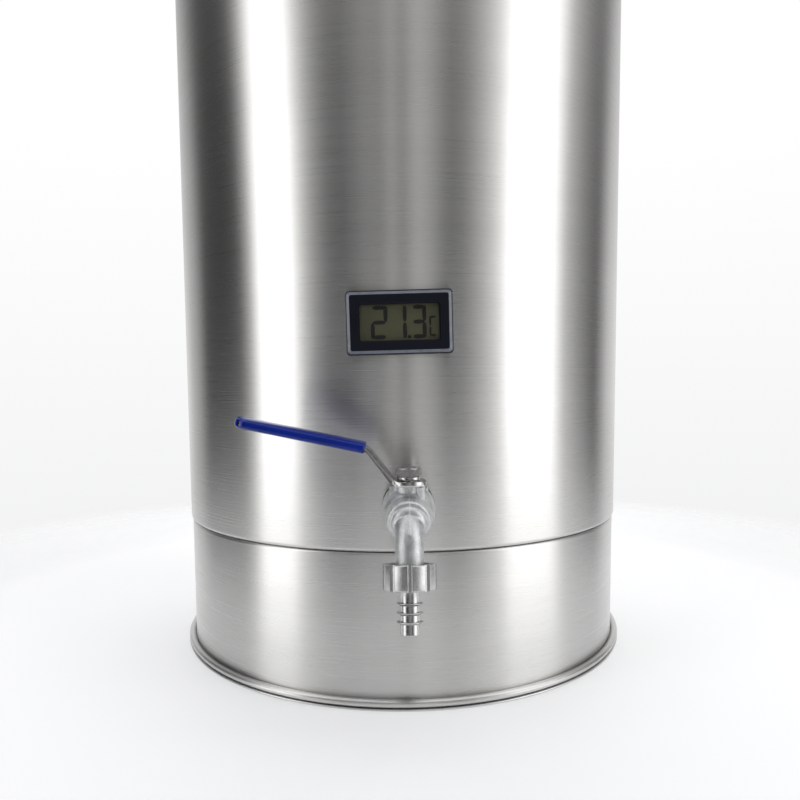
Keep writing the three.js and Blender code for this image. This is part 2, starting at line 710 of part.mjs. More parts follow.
function heatingElement() {
  const r = 60;
  const z = VESSEL_BOTTOM_Z - 9.4;
  const turn = Array.from({ length: 13 }, (_, i) => {
    const a = rad(108 + (324 * i) / 12);
    return [r * Math.cos(a), r * Math.sin(a), z];
  });
  const ends = (point) => [point[0], point[1] + 9, z - 4];
  const tip = (point) => [point[0], point[1] + 12, z - 22];
  return bar(smooth([tip(turn[0]), ends(turn[0]), ...turn, ends(turn[12]), tip(turn[12])]), 4, 24, 6);
}

function thermostatKnob() {
  const grooves = Array.from({ length: 6 }, (_, i) =>
    disc(2.6, 5, 20, 6).translate([18, 0, 0]).rotate([0, 0, 60 * i + 30]),
  );
  const round = lathe([[0, 0], [18, 0], [18, 2.5], [17, 3.2], [16.4, 13.5], [14.8, 15], [0, 15]], 30);
  const pointer = block(-0.9, 0.9, 5, 16, 14, 16);
  return cut(round, ...grooves, pointer, disc(3.3, -1, 11, 16));
}

function controlPieces() {
  const skirt = wallCylinder(SKIRT_R + GAP).translate([0, 0, -CONTROLS_Z]);
  const onBack = (made, y) => facingBack(made).translate([0, y, 0]);
  const placed = (name, finish, made, azimuth) => piece(name, finish, atAzimuth(made, azimuth));
  const dial = cut(onBack(ring(3.6, 23, -12, 0, 28), FACE_Y), skirt);
  const body = block(-17, 17, SKIRT_INNER_R - 26, SKIRT_INNER_R - 5, -17, 17);
  const spindle = onBack(disc(3, -29, 10.5, 16), FACE_Y);
  const socket = cut(body, onBack(disc(3.3, -12, 16, 12), SKIRT_INNER_R - 16));
  const rockerPivot = FACE_Y - 1.6;
  const switchBody = cut(
    union(
      cut(onBack(disc(SWITCH.bezel, -12, 0, 32), FACE_Y), skirt),
      onBack(disc(SWITCH.body, -20, -3, 28), FACE_Y),
    ),
    block(-6.3, 6.3, rockerPivot - 8.2, FACE_Y + 5, -8, 8),
  );
  const rocker = prism(
    [...arc([0, 0], 7.5, 172, 368, 12), [7.2, 2], [0, 0.6], [-7.2, 2]],
    -6,
    6,
  ).rotate([90, 0, 90]);
  const tilted = rocker.rotate([180, 0, 0]).rotate([-ROCKER_TILT_DEG, 0, 0]);
  return [
    placed("thermostat_dial", "black_plastic", dial, KNOB_AZIMUTH_DEG),
    placed("thermostat_knob", "black_plastic", onBack(thermostatKnob(), FACE_Y + GAP), KNOB_AZIMUTH_DEG),
    placed("thermostat_spindle", "brass", spindle, KNOB_AZIMUTH_DEG),
    placed("thermostat_body", "aluminium", socket, KNOB_AZIMUTH_DEG),
    placed("switch_body", "black_plastic", switchBody, SWITCH_AZIMUTH_DEG),
    placed("switch_rocker", "black_plastic", tilted.translate([0, rockerPivot, 0]), SWITCH_AZIMUTH_DEG),
  ];
}

const ROCKER_TILT_DEG = 10;

function inletPieces() {
  const front = SKIRT_R + 3.4;
  const skirt = wallCylinder(SKIRT_R + GAP).translate([0, 0, -CONTROLS_Z]);
  const flange = cut(prismAlongY(roundedBox(50, 27, 3), 110, front), skirt);
  const shroud = prismAlongY(roundedBox(30, 22, 1), front - 22, front - 0.5);
  const mouth = [[-12.3, -4.5], [-8.3, -8.5], [8.3, -8.5], [12.3, -4.5], [12.3, 8.5], [-12.3, 8.5]];
  const cavity = prismAlongY(mouth, front - 17, front + 1);
  const screws = [-20, 20].map((x) => prismAlongY(roundedBox(3.6, 3.6, 1.7), 100, front + 1).translate([x, 0, 0]));
  const pins = [[-7, -2], [7, -2], [0, 2]];
  const slots = pins.map(([x, z]) => block(x - 1.3, x + 1.3, front - 30, front - 16, z - 2.3, z + 2.3));
  const housing = cut(union(flange, shroud), cavity, ...screws, ...slots);
  const pin = (x, z) => block(x - 1, x + 1, front - 28, front - 2.4, z - 2, z + 2);
  const screw = union(disc(3.2, GAP, 2, 20), disc(1.4, -12, 0.5, 12));
  const made = [
    piece("power_inlet", "black_plastic", housing),
    ...["live_pin", "neutral_pin", "earth_pin"].map((name, i) => piece(name, "brass", pin(...pins[i]))),
    ...[["inlet_screw_left", -20], ["inlet_screw_right", 20]].map(([name, x]) =>
      piece(name, "polished_steel", facingBack(screw).translate([x, front, 0])),
    ),
  ];
  return groupAt(0, 0, CONTROLS_Z, ...made);
}

// ---------- the kettle ----------
const kettle = new THREE.Group();
kettle.add(
  piece("inner_vessel", "brushed_steel", innerVessel()),
  piece("outer_jacket", "brushed_steel", outerJacket()),
  piece("insulation_sleeve", "insulation", insulationSleeve()),
  piece("base_skirt", "brushed_steel", baseSkirt()),
  piece("base_plate", "brushed_steel", basePlate()),
  ...lidPieces(),
  handleSide("right", 0),
  handleSide("left", Math.PI),
  ...handleScrews(),
  meter(),
  ...sensorPieces(),
  tap(),
  piece("heat_spreader", "aluminium", disc(80, VESSEL_BOTTOM_Z - GAP - 4.5, VESSEL_BOTTOM_Z - GAP, 32)),
  piece("heating_element", "polished_steel", heatingElement()),
  piece("thermal_cutout", "brass", disc(8, VESSEL_BOTTOM_Z - 17, VESSEL_BOTTOM_Z - 5.2, 24)),
  ...controlPieces(),
  inletPieces(),
);

export default kettle;
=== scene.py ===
"""Looks of the electric brew kettle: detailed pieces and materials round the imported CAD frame."""

import json
from math import atan2, cos, hypot, pi, radians, sin, sqrt

import bmesh
import bpy
from mathutils import Matrix, Vector


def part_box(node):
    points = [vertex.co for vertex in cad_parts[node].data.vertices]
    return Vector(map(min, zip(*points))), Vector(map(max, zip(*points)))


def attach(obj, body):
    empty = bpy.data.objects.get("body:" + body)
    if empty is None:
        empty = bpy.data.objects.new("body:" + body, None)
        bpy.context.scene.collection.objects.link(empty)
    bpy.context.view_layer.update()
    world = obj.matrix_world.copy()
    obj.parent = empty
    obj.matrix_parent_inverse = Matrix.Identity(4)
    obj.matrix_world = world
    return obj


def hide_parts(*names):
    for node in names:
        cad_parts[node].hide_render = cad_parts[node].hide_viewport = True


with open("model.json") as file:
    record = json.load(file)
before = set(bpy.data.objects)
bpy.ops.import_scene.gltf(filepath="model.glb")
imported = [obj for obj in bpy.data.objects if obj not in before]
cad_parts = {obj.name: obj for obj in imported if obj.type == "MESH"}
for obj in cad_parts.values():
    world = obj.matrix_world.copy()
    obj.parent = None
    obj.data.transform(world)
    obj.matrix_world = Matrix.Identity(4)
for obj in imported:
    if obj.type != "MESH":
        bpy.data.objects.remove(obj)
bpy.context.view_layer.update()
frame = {"nodes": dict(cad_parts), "record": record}
JOINTS = {joint["name"]: joint for joint in frame["record"]["behaviour"]["joints"]}
NODE_SLOTS = {part["node"]: part["material_slot"] for part in frame["record"]["subparts"]}


# ---------- places and sizes, in millimetres, from the frame ----------
def node_box(name):
    low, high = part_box(name)
    return Vector(low) * 1000, Vector(high) * 1000


JACKET_LOW, JACKET_HIGH = node_box("outer_jacket")
VESSEL_LOW, VESSEL_HIGH = node_box("inner_vessel")
GRIP_LOW, GRIP_HIGH = node_box("handle_grip_right")
METER_LOW, METER_HIGH = node_box("meter_case")

SHEET = 1.0              # thickness of every sheet
JACKET_R = JACKET_HIGH.x
HEM_R = node_box("base_skirt")[1].x
SKIRT_R = HEM_R - 4.1
FLANGE_R = 117.0         # inner edge of the flanges where jacket and skirt meet
SEAM_Z = JACKET_LOW.z - 0.1
VESSEL_R = 114.5         # mid-line of the vessel's wall
RIM_Z = VESSEL_HIGH.z
RIM_R = VESSEL_HIGH.x
LID_TOP = RIM_Z + 17
LID_KNOB_Z = node_box("lid_knob")[0].z
STEM = Vector(JOINTS["lever_turn"]["pos_m"]) * 1000
TAP = Vector((STEM.x, -JACKET_R, (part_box("tap_gasket")[0][2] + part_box("tap_gasket")[1][2]) * 500))
STEM_Y = -15.5           # the stem's axis from the tap's flange
STEM_HOLE = 3.2          # clearance round the stem's thread
BARREL_R = 11.7
LEAN_DEGREES = 11        # the spout leans out from the vertical
SPOUT_LEAN = radians(LEAN_DEGREES)
SPOUT_TOP = Vector((0, -29.3, -10.9))
SPOUT_R = 6.1
SPOUT_BORE = 4.2
SPOUT_BEND = 12.0
COLLAR_R = 8.1           # the shoulder that holds the union nut up
TAIL_R = 4.15
TAIL_BORE = 2.9
METER_TILT = radians(1.1)
METER_AT = Vector(((METER_LOW.x + METER_HIGH.x) / 2, -JACKET_R, (METER_LOW.z + METER_HIGH.z) / 2))
METER_SIZE = (48.0, 28.6)
METER_WINDOW = (35.4, 16.0)
HANDLE_Z = (GRIP_LOW.z + GRIP_HIGH.z) / 2
HANDLE_X = (GRIP_LOW.x + GRIP_HIGH.x) / 2
HANDLE_SPREAD = 52.0
LEVER_Z = 13.2
CONTROLS_Z = 38.0
KNOB_AZIMUTH = radians(-36)
SWITCH_AZIMUTH = radians(27)
INLET_SCREW_X = 20.0
KNOB_R = 18.0
DIAL_R = 23.0
FACE_Y = SKIRT_R + 3.8   # the dial's face

METRES = Matrix.Scale(0.001, 4)
FRONT = Matrix.Rotation(pi / 2, 4, "X")      # an axis along Z turns to point along -Y
BACK = Matrix.Rotation(-pi / 2, 4, "X")
TAP_AT = Matrix.Translation(TAP)
STEM_AT = Matrix.Translation(TAP + Vector((0, STEM_Y, 0)))
SPOUT_AT = Matrix.Translation(TAP + SPOUT_TOP) @ Matrix.Rotation(-SPOUT_LEAN, 4, "X")
METER_PLACE = Matrix.Translation(METER_AT) @ Matrix.Rotation(-METER_TILT, 4, "Y")


def turned_by(degrees):
    return Matrix.Rotation(radians(degrees), 4, "Z")


# ---------- meshes, in millimetres ----------
def mesh_from(vertices, faces):
    """A mesh with its doubled points merged and its faces pointing out."""
    mesh = bpy.data.meshes.new("mesh")
    mesh.from_pydata([tuple(v) for v in vertices], [], faces)
    work = bmesh.new()
    work.from_mesh(mesh)
    bmesh.ops.remove_doubles(work, verts=work.verts, dist=2e-4)
    bmesh.ops.recalc_face_normals(work, faces=work.faces)
    work.to_mesh(mesh)
    work.free()
    return mesh


def moved(mesh, *matrices):
    for matrix in matrices:
        mesh.transform(matrix)
    return mesh


def turned(profile, segments=96):
    """A body turned about Z from (r, z) points: a closed section, or an open one between two axis points."""
    rows, vertices, faces = len(profile), [], []
    for i in range(segments):
        a = 2 * pi * i / segments
        vertices += [(r * cos(a), r * sin(a), z) for r, z in profile]
    closed = profile[0][0] > 1e-9
    for i in range(segments):
        near, far = i * rows, (i + 1) % segments * rows
        for k in range(rows if closed else rows - 1):
            after = (k + 1) % rows
            faces.append((near + k, far + k, far + after, near + after))
    return mesh_from(vertices, faces)


def disc(radius, low, high, segments=64):
    return turned([(0, low), (radius, low), (radius, high), (0, high)], segments)


def ring(inner, outer, low, high, segments=64):
    return turned([(inner, low), (outer, low), (outer, high), (inner, high)], segments)


def loft(rings):
    """A body skinned over rings of the same number of points, with flat ends."""
    count, vertices, faces = len(rings[0]), [v for one in rings for v in one], []
    for near in range(0, len(vertices) - count, count):
        for k in range(count):
            after = (k + 1) % count
            faces.append((near + k, near + after, near + count + after, near + count + k))
    faces.append(tuple(range(count)))
    faces.append(tuple(range(len(vertices) - count, len(vertices))))
    return mesh_from(vertices, faces)


def prism(outline, low, high):
    return loft([[(x, y, z) for x, y in outline] for z in (low, high)])


def block(x0, x1, y0, y1, z0, z1):
    return prism([(x0, y0), (x1, y0), (x1, y1), (x0, y1)], z0, z1)


def arc(centre, radius, start, end, steps):
    """Points on a circle between two angles in degrees."""
    angles = [radians(start + (end - start) * i / steps) for i in range(steps + 1)]
    return [(centre[0] + radius * cos(a), centre[1] + radius * sin(a)) for a in angles]


def rounded_box(width, height, radius, steps=6):
    found = []
    for sx, sy, a in [(1, 1, 0), (-1, 1, 90), (-1, -1, 180), (1, -1, 270)]:
        found += arc((sx * (width / 2 - radius), sy * (height / 2 - radius)), radius, a, a + 90, steps)
    return found


def eased(points, radius, steps=6):
    """An open path with its inner corners rounded."""
    found = [tuple(points[0])]
    for before, p, after in zip(points, points[1:], points[2:]):
        a, b, c = Vector(before), Vector(p), Vector(after)
        reach = min(radius, (a - b).length * 0.49, (c - b).length * 0.49)
        start, end = b + (a - b).normalized() * reach, b + (c - b).normalized() * reach
        for i in range(steps + 1):
            t = i / steps
            found.append(tuple(start * (1 - t) ** 2 + b * 2 * t * (1 - t) + end * t * t))
    return found + [tuple(points[-1])]


def sheet_outline(path, thickness):
    """The closed outline of a sheet whose mid-line is the path."""
    def side(sign):
        found = []
        for i, p in enumerate(path):
            into = (Vector(p) - Vector(path[i - 1])).normalized() if i else None
            out = (Vector(path[i + 1]) - Vector(p)).normalized() if i < len(path) - 1 else into
            into = into or out
            mid = (into + out).normalized()
            reach = thickness / 2 / mid.dot(into)
            found.append((p[0] + sign * mid.y * reach, p[1] - sign * mid.x * reach))
        return found

    return side(1) + side(-1)[::-1]


def swept(points, radius, sides=32):
    """A round bar along a path."""
    points = [Vector(p) for p in points]
    rings, across = [], None
    for i, p in enumerate(points):
        along = (points[min(i + 1, len(points) - 1)] - points[max(i - 1, 0)]).normalized()
        seed = across or (Vector((1, 0, 0)) if abs(along.x) < 0.9 else Vector((0, 0, 1)))
        across = (seed - along * seed.dot(along)).normalized()
        other = along.cross(across)
        rings.append([p + (across * cos(a) + other * sin(a)) * radius
                      for a in (2 * pi * k / sides for k in range(sides))])
    return loft(rings)


def modified(mesh, *steps):
    """The mesh after a stack of modifiers, each (type, settings)."""
    obj = bpy.data.objects.new("work", mesh)
    bpy.context.scene.collection.objects.link(obj)
    for kind, settings in steps:
        modifier = obj.modifiers.new(kind, kind)
        for key, value in settings.items():
            setattr(modifier, key, value)
    graph = bpy.context.evaluated_depsgraph_get()
    made = bpy.data.meshes.new_from_object(obj.evaluated_get(graph), depsgraph=graph)
    bpy.data.objects.remove(obj)
    return made


def gathered(meshes):
    """One mesh holding several separate ones."""
    work = bmesh.new()
    for mesh in meshes:
        work.from_mesh(mesh)
    made = bpy.data.meshes.new("gathered")
    work.to_mesh(made)
    work.free()
    return made


def combined(operation, mesh, *others):
    """The first mesh with a Boolean operation done by each of the others in turn."""
    tools = []
    for other in others:
        tool = bpy.data.objects.new("tool", other)
        bpy.context.scene.collection.objects.link(tool)
        tools.append(tool)
    settings = [("BOOLEAN", {"operation": operation, "object": tool, "solver": "MANIFOLD"}) for tool in tools]
    made = modified(mesh, *settings)
    for tool in tools:
        bpy.data.objects.remove(tool)
    return made


def cut(mesh, *others):
    return combined("DIFFERENCE", mesh, *others)


def joined(mesh, *others):
    return combined("UNION", mesh, *others)


def softened(mesh, width, segments=3, angle=35):
    """The mesh with a bevel on its edges sharper than the angle."""
    return modified(mesh, ("BEVEL", {
        "width": width, "segments": segments, "limit_method": "ANGLE", "angle_limit": radians(angle),
        "harden_normals": True, "use_clamp_overlap": True,
    }))


def piece(name, mesh, material, body, replaces=(), sharp=32):
    """Scales the mesh to metres, shades it smooth but for its sharp edges, and puts it on its body."""
    mesh.transform(METRES)
    for polygon in mesh.polygons:
        polygon.use_smooth = True
    if sharp:
        mesh.set_sharp_from_angle(angle=radians(sharp))
    mesh.name = name
    mesh.materials.clear()
    mesh.materials.append(material)
    obj = bpy.data.objects.new(name, mesh)
    bpy.context.scene.collection.objects.link(obj)
    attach(obj, body)
    if replaces:
        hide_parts(*replaces)
    return obj


# ---------- materials ----------
def add(tree, kind, inputs=None, **settings):
    node = tree.nodes.new(kind)
    for key, value in settings.items():
        setattr(node, key, value)
    for key, value in (inputs or {}).items():
        if isinstance(value, bpy.types.NodeSocket):
            tree.links.new(value, node.inputs[key])
        else:
            node.inputs[key].default_value = value
    return node


def noise(tree, place, scale, detail=3.0, roughness=0.55):
    """Noise in object space; scale is in waves per metre along X, Y and Z."""
    mapping = add(tree, "ShaderNodeMapping", {"Vector": place, "Scale": scale})
    made = add(tree, "ShaderNodeTexNoise", {
        "Vector": mapping.outputs[0], "Scale": 1.0, "Detail": detail, "Roughness": roughness,
    })
    return made.outputs["Fac"]


def spread(tree, value, low, high, start=0.3, end=0.7):
    made = add(tree, "ShaderNodeMapRange", {
        "Value": value, "From Min": start, "From Max": end, "To Min": low, "To Max": high,
    })
    return made.outputs[0]


def finish(name, dark, light, roughness, grain, bump, tone=(40, 40, 40), metallic=0.0, sockets=None,
           radial=False):
    """A finish with slow changes of tone, a fine grain in its roughness, and the same grain as bump."""
    made = bpy.data.materials.new(name)
    made.use_nodes = True
    tree = made.node_tree
    surface = tree.nodes["Principled BSDF"]
    place = add(tree, "ShaderNodeTexCoord").outputs["Object"]
    slow = noise(tree, place, tone, 4.0)
    fine = noise(tree, place, grain, 5.0, 0.6)
    tint = add(tree, "ShaderNodeMath", {0: slow, 1: fine}, operation="ADD")
    colour = add(tree, "ShaderNodeValToRGB", {"Fac": spread(tree, tint.outputs[0], 0.0, 1.0, 0.7, 1.3)})
    colour.color_ramp.elements[0].color = (*dark, 1)
    colour.color_ramp.elements[1].color = (*light, 1)
    tree.links.new(colour.outputs["Color"], surface.inputs["Base Color"])
    tree.links.new(spread(tree, fine, *roughness), surface.inputs["Roughness"])
    surface.inputs["Metallic"].default_value = metallic
    if bump:
        relief = add(tree, "ShaderNodeBump", {"Height": fine, "Strength": bump[0], "Distance": bump[1]})
        tree.links.new(relief.outputs[0], surface.inputs["Normal"])
    if radial:
        tangent = add(tree, "ShaderNodeTangent", direction_type="RADIAL", axis="Z")
        tree.links.new(tangent.outputs[0], surface.inputs["Tangent"])
    for key, value in (sockets or {}).items():
        surface.inputs[key].default_value = value
    return made


BRUSHED = {"Anisotropic": 1.0, "Anisotropic Rotation": 0.25}
jacket_steel = finish("brushed_steel_wall", (0.6, 0.595, 0.585), (0.65, 0.645, 0.635), (0.26, 0.32),
                      (9, 9, 3200), (0.14, 0.00002), (3, 3, 60), 1.0, BRUSHED, True)
brushed = finish("brushed_steel_sheet", (0.60, 0.60, 0.605), (0.67, 0.67, 0.675), (0.22, 0.3),
                 (3, 3, 2200), (0.2, 0.00002), (3, 3, 60), 1.0,
                 {"Anisotropic": 0.6, "Anisotropic Rotation": 0.25}, True)
polished = finish("polished_steel_bar", (0.44, 0.435, 0.43), (0.54, 0.535, 0.53), (0.16, 0.26),
                  (900, 900, 900), (0.08, 0.00002), (60, 60, 60), 1.0)
cast = finish("cast_steel_grain", (0.42, 0.43, 0.44), (0.66, 0.665, 0.67), (0.34, 0.5),
              (1500, 1500, 1500), (1.0, 0.00016), (260, 260, 260), 1.0)
satin = finish("cast_steel_satin", (0.42, 0.42, 0.425), (0.62, 0.62, 0.615), (0.26, 0.4),
               (1700, 1700, 1700), (0.7, 0.0001), (220, 220, 220), 1.0)
aluminium = finish("aluminium_plate", (0.6, 0.61, 0.62), (0.7, 0.71, 0.72), (0.35, 0.5),
                   (800, 800, 800), (0.15, 0.00004), (60, 60, 60), 1.0)
plastic = finish("moulded_black_plastic", (0.002, 0.003, 0.008), (0.004, 0.005, 0.012), (0.3, 0.4),
                 (3500, 3500, 3500), (0.12, 0.00003), (80, 80, 80), 0.0, {"Specular IOR Level": 0.25})
# painted highlight: a paler plastic for the bezel's sloping edge, coloured as though that chamfer caught the
# light
painted_highlight_plastic = finish("bevel_painted_highlight", (0.1, 0.11, 0.14), (0.16, 0.175, 0.21), (0.2, 0.3),
                     (3000, 3000, 3000), (0.08, 0.00003), (300, 300, 300))
phenolic = finish("phenolic_resin", (0.007, 0.007, 0.007), (0.013, 0.012, 0.012), (0.16, 0.26),
                  (1500, 1500, 1500), (0.05, 0.00003), (60, 60, 60), 0.0, {"Coat Weight": 0.3})
window = finish("clear_window", (0.02, 0.022, 0.02), (0.03, 0.033, 0.03), (0.04, 0.08),
                (300, 300, 300), None, (40, 40, 40), 0.0, {"Alpha": 0.08})
display = finish("lcd_glass", (0.088, 0.088, 0.046), (0.105, 0.106, 0.058), (0.3, 0.36),
                 (4000, 4000, 4000), (0.05, 0.00001), (30, 30, 60))
segment = finish("lcd_segment", (0.006, 0.007, 0.005), (0.009, 0.01, 0.007), (0.35, 0.45),
                 (4000, 4000, 4000), None, (200, 200, 200))
circuit = finish("circuit_board", (0.01, 0.09, 0.03), (0.02, 0.13, 0.05), (0.4, 0.55),
                 (900, 900, 900), (0.2, 0.00005), (250, 250, 250))
rubber = finish("black_rubber", (0.01, 0.01, 0.01), (0.02, 0.02, 0.02), (0.6, 0.8),
                (1800, 1800, 1800), (0.3, 0.00005), (120, 120, 120))
silicone = finish("silicone_seal", (0.6, 0.59, 0.56), (0.7, 0.69, 0.66), (0.45, 0.6),
                  (1200, 1200, 1200), (0.15, 0.00005), (90, 90, 90), 0.0, {"Subsurface Weight": 0.1})
ptfe = finish("ptfe_seal", (0.78, 0.78, 0.76), (0.86, 0.86, 0.85), (0.4, 0.55),
              (1200, 1200, 1200), (0.1, 0.00004), (90, 90, 90))
vinyl = finish("dipped_blue_vinyl", (0.0003, 0.011, 0.16), (0.0006, 0.017, 0.25), (0.08, 0.14),
               (700, 700, 700), (0.1, 0.00008), (70, 70, 70), 0.0,
               {"Coat Weight": 0.05, "Coat Roughness": 0.05, "IOR": 1.33})
insulation = finish("fibre_insulation", (0.55, 0.48, 0.26), (0.72, 0.66, 0.42), (0.85, 0.98),
                    (900, 900, 300), (0.8, 0.0006), (120, 120, 120))
brass = finish("brass_pins", (0.5, 0.34, 0.13), (0.62, 0.43, 0.18), (0.2, 0.32),
               (900, 900, 900), (0.1, 0.00003), (80, 80, 80), 1.0)
lead = finish("lead_jacket", (0.012, 0.012, 0.012), (0.022, 0.022, 0.022), (0.5, 0.65),
              (1500, 1500, 1500), (0.2, 0.00005), (120, 120, 120))
ink = finish("dial_print", (0.72, 0.72, 0.72), (0.82, 0.82, 0.82), (0.5, 0.6),
             (2500, 2500, 2500), None, (200, 200, 200))

NODE_FINISHES = {
    "brushed_steel": brushed, "polished_steel": polished, "cast_steel": cast, "aluminium": aluminium,
    "black_plastic": plastic, "phenolic": phenolic, "window": window, "display": display,
    "circuit": circuit, "rubber": rubber, "silicone": silicone, "ptfe": ptfe, "blue_vinyl": vinyl,
    "insulation": insulation, "brass": brass, "lead": lead,
}
for node_name, node in frame["nodes"].items():
    node.data.materials.clear()
    node.data.materials.append(NODE_FINISHES[NODE_SLOTS[node_name]])


# ---------- jacket, skirt, base plate and vessel ----------
WALL_SEGMENTS = 240
NIPPLE_HOLE = 8.5
FEET = [(side, end * HANDLE_SPREAD) for side in (1, -1) for end in (1, -1)]


def front_hole(radius, centre, low=100, high=140):
    return moved(disc(radius, low, high), FRONT, Matrix.Translation((centre.x, 0, centre.z)))


def back_placed(mesh, azimuth):
    return moved(mesh, BACK, Matrix.Rotation(-azimuth, 4, "Z"), Matrix.Translation((0, 0, CONTROLS_Z)))


def on_axis(outline):
    """The outline with its two ends put exactly on the axis."""
    return [(0, outline[0][1]), *outline[1:-1], (0, outline[-1][1])]


def outer_jacket():
    """The plain upper wall, bent in at its foot, with holes for the thermometer, the tap and the handles."""
    middle = JACKET_R - SHEET / 2
    flange = SEAM_Z + 0.1 + SHEET / 2
    bend = 1.6
    corner = arc((middle - bend, flange + bend), bend, -90, 0, 8)
    path = [(FLANGE_R, flange), *corner, (middle, RIM_Z - SHEET - 0.4)]
    wall = turned(sheet_outline(path, SHEET), WALL_SEGMENTS)
    opening = prism(rounded_box(METER_SIZE[0] - 1.2, METER_SIZE[1] - 1.2, 1.4), 0, 22)
    opening = moved(opening, FRONT, Matrix.Translation((0, 8, 0)), METER_PLACE)
    holes = [moved(disc(2.6, 100, 140, 24), Matrix.Rotation(side * pi / 2, 4, "Y"),
                   Matrix.Translation((0, y, HANDLE_Z))) for side, y in FEET]
    return cut(wall, opening, front_hole(NIPPLE_HOLE, TAP), *holes)


def base_skirt():
    """The lower wall; its hem is a rolled bead with a fine groove round it."""
    top = SEAM_Z - 0.3
    inner = SKIRT_R - SHEET
    bend, hem_r, groove_r = 1.2, 1.9, 1.62
    hem = (HEM_R - hem_r, 3.1)
    outline = [
        (FLANGE_R, top - SHEET), (FLANGE_R, top), *arc((SKIRT_R - bend, top - bend), bend, 90, 0, 6),
        (SKIRT_R, 2.6), *arc(hem, hem_r, 195, 36, 18), *arc(hem, groove_r, 31, 27, 1),
        *arc(hem, hem_r, 22, -90, 12), (inner + 1.0, 1.2), (inner, 2.2), (inner, top - SHEET),
    ]
    wall = turned(outline[::-1], WALL_SEGMENTS)
    inlet = back_placed(prism(rounded_box(31, 23, 1), 110, 140), 0)
    screws = []
    for x in (-INLET_SCREW_X, INLET_SCREW_X):
        screws.append(moved(disc(1.8, 110, 140, 24), BACK, Matrix.Translation((x, 0, CONTROLS_Z))))
    spindle = back_placed(disc(5, 110, 140, 32), KNOB_AZIMUTH)
    switch = back_placed(disc(10.1, 110, 140, 48), SWITCH_AZIMUTH)
    return cut(wall, inlet, *screws, spindle, switch)


def base_plate():
    """A flat floor with vents round it and a low ring that centres it in the skirt."""
    thickness, corner, vents, vent_at = 0.9, 0.3, 12, 70
    edge = [(0, 0), *arc((HEM_R - corner, corner), corner, -90, 0, 4),
            *arc((HEM_R - corner, thickness - corner), corner, 0, 90, 4), (0, thickness)]
    slot = [(x + vent_at, y) for x, y in rounded_box(22, 4, 1.99)]
    slots = [moved(prism(slot, -1, 4), turned_by(360 / vents * i)) for i in range(vents)]
    plate = cut(turned(edge, WALL_SEGMENTS), *slots)
    inside = SKIRT_R - SHEET - 1
    return joined(plate, ring(inside - SHEET, inside, 0.2, 9, WALL_SEGMENTS))


def inner_vessel():
    """A pan with a rolled rim that covers the jacket's upper edge."""
    bottom, rim = VESSEL_LOW.z + SHEET / 2, RIM_Z - SHEET / 2
    foot_bend, rim_bend, bead_r = 10, 3, 2.1
    bead = (RIM_R - bead_r, RIM_Z - bead_r)
    path = [(0, bottom), *arc((VESSEL_R - foot_bend, bottom + foot_bend), foot_bend, -90, 0, 12),
            (VESSEL_R, rim - rim_bend), *arc((VESSEL_R + rim_bend, rim - rim_bend), rim_bend, 180, 90, 8)[1:],
            (bead[0] - 0.2, rim)]
    wall = turned(on_axis(sheet_outline(path, SHEET)), WALL_SEGMENTS)
    rolled = turned(arc(bead, bead_r, 0, 360, 24)[1:], WALL_SEGMENTS)
    well_r, well = 4.3, Vector((-38, 0, 140))
    return cut(joined(wall, rolled), front_hole(NIPPLE_HOLE, TAP, 60, 160), front_hole(well_r, well, 60, 160))


piece("jacket", outer_jacket(), jacket_steel, "kettle", ["outer_jacket"])
piece("skirt", base_skirt(), jacket_steel, "kettle", ["base_skirt"])
piece("bottom_plate", base_plate(), brushed, "kettle", ["base_plate"])
piece("vessel", inner_vessel(), brushed, "kettle", ["inner_vessel"])


# ---------- lid and knob ----------
LID_HOLE = 2.9


def lid():
    """A shallow dome with a groove that drops inside the rim, a flat seat and a turned-up edge."""
    seat = RIM_Z + 0.3 + SHEET / 2
    shoulder = (98, LID_TOP - 8)
    dome = [(0, LID_TOP - SHEET / 2), (25, LID_TOP - 0.9), (50, LID_TOP - 2), (75, LID_TOP - 4.4), shoulder]
    edge = eased([shoulder, (109.5, seat - 6), (112.6, seat - 6), (113.2, seat), (131.6, seat),
                  (133, seat + 2.4)], 3)
    outline = on_axis(sheet_outline([*dome, *edge[1:]], SHEET))
    return cut(turned(outline, WALL_SEGMENTS), disc(LID_HOLE, RIM_Z, RIM_Z + 30))


def lid_knob():
    """A waisted round knob with finger grooves up its side and a hole for the screw."""
    base, grooves = LID_KNOB_Z, 12
    profile = [(0, base), (10.4, base), *arc((19.5, base + 9), 9.5, 215, 150, 10),
               *arc((15.5, base + 21), 5.5, -60, 80, 14), (8, base + 28), (4, base + 28.45), (0, base + 28.6)]
    groove = [(23.6, 0, base + 12), (23.2, 0, base + 22), (21.2, 0, base + 30)]
    cutters = [moved(swept(groove, 2.2, 24), turned_by(360 / grooves * i)) for i in range(grooves)]
    return softened(cut(turned(profile, 96), disc(2.7, base - 1, base + 17), *cutters), 0.4, 2, 40)


piece("lid_shell", lid(), brushed, "lid", ["lid"])
piece("knob", lid_knob(), phenolic, "lid", ["lid_knob"])
piece("knob_washer", softened(ring(LID_HOLE, 14, LID_TOP + 0.3, LID_TOP + 1.6, 96), 0.3), polished, "lid",
      ["lid_knob_washer"])


# ---------- side handles, made on the +X side at height zero ----------
def wall_cylinder(radius, low=-60, high=60):
    return disc(radius, low, high, WALL_SEGMENTS)


def at_feet(make):
    """The same shape, made along Z, pointing out at both ends of the bar."""
    placed = []
    for end in (-1, 1):
        placed.append(moved(make(), Matrix.Rotation(pi / 2, 4, "Y"),
                            Matrix.Translation((JACKET_R - 22, end * HANDLE_SPREAD, 0))))
    return placed


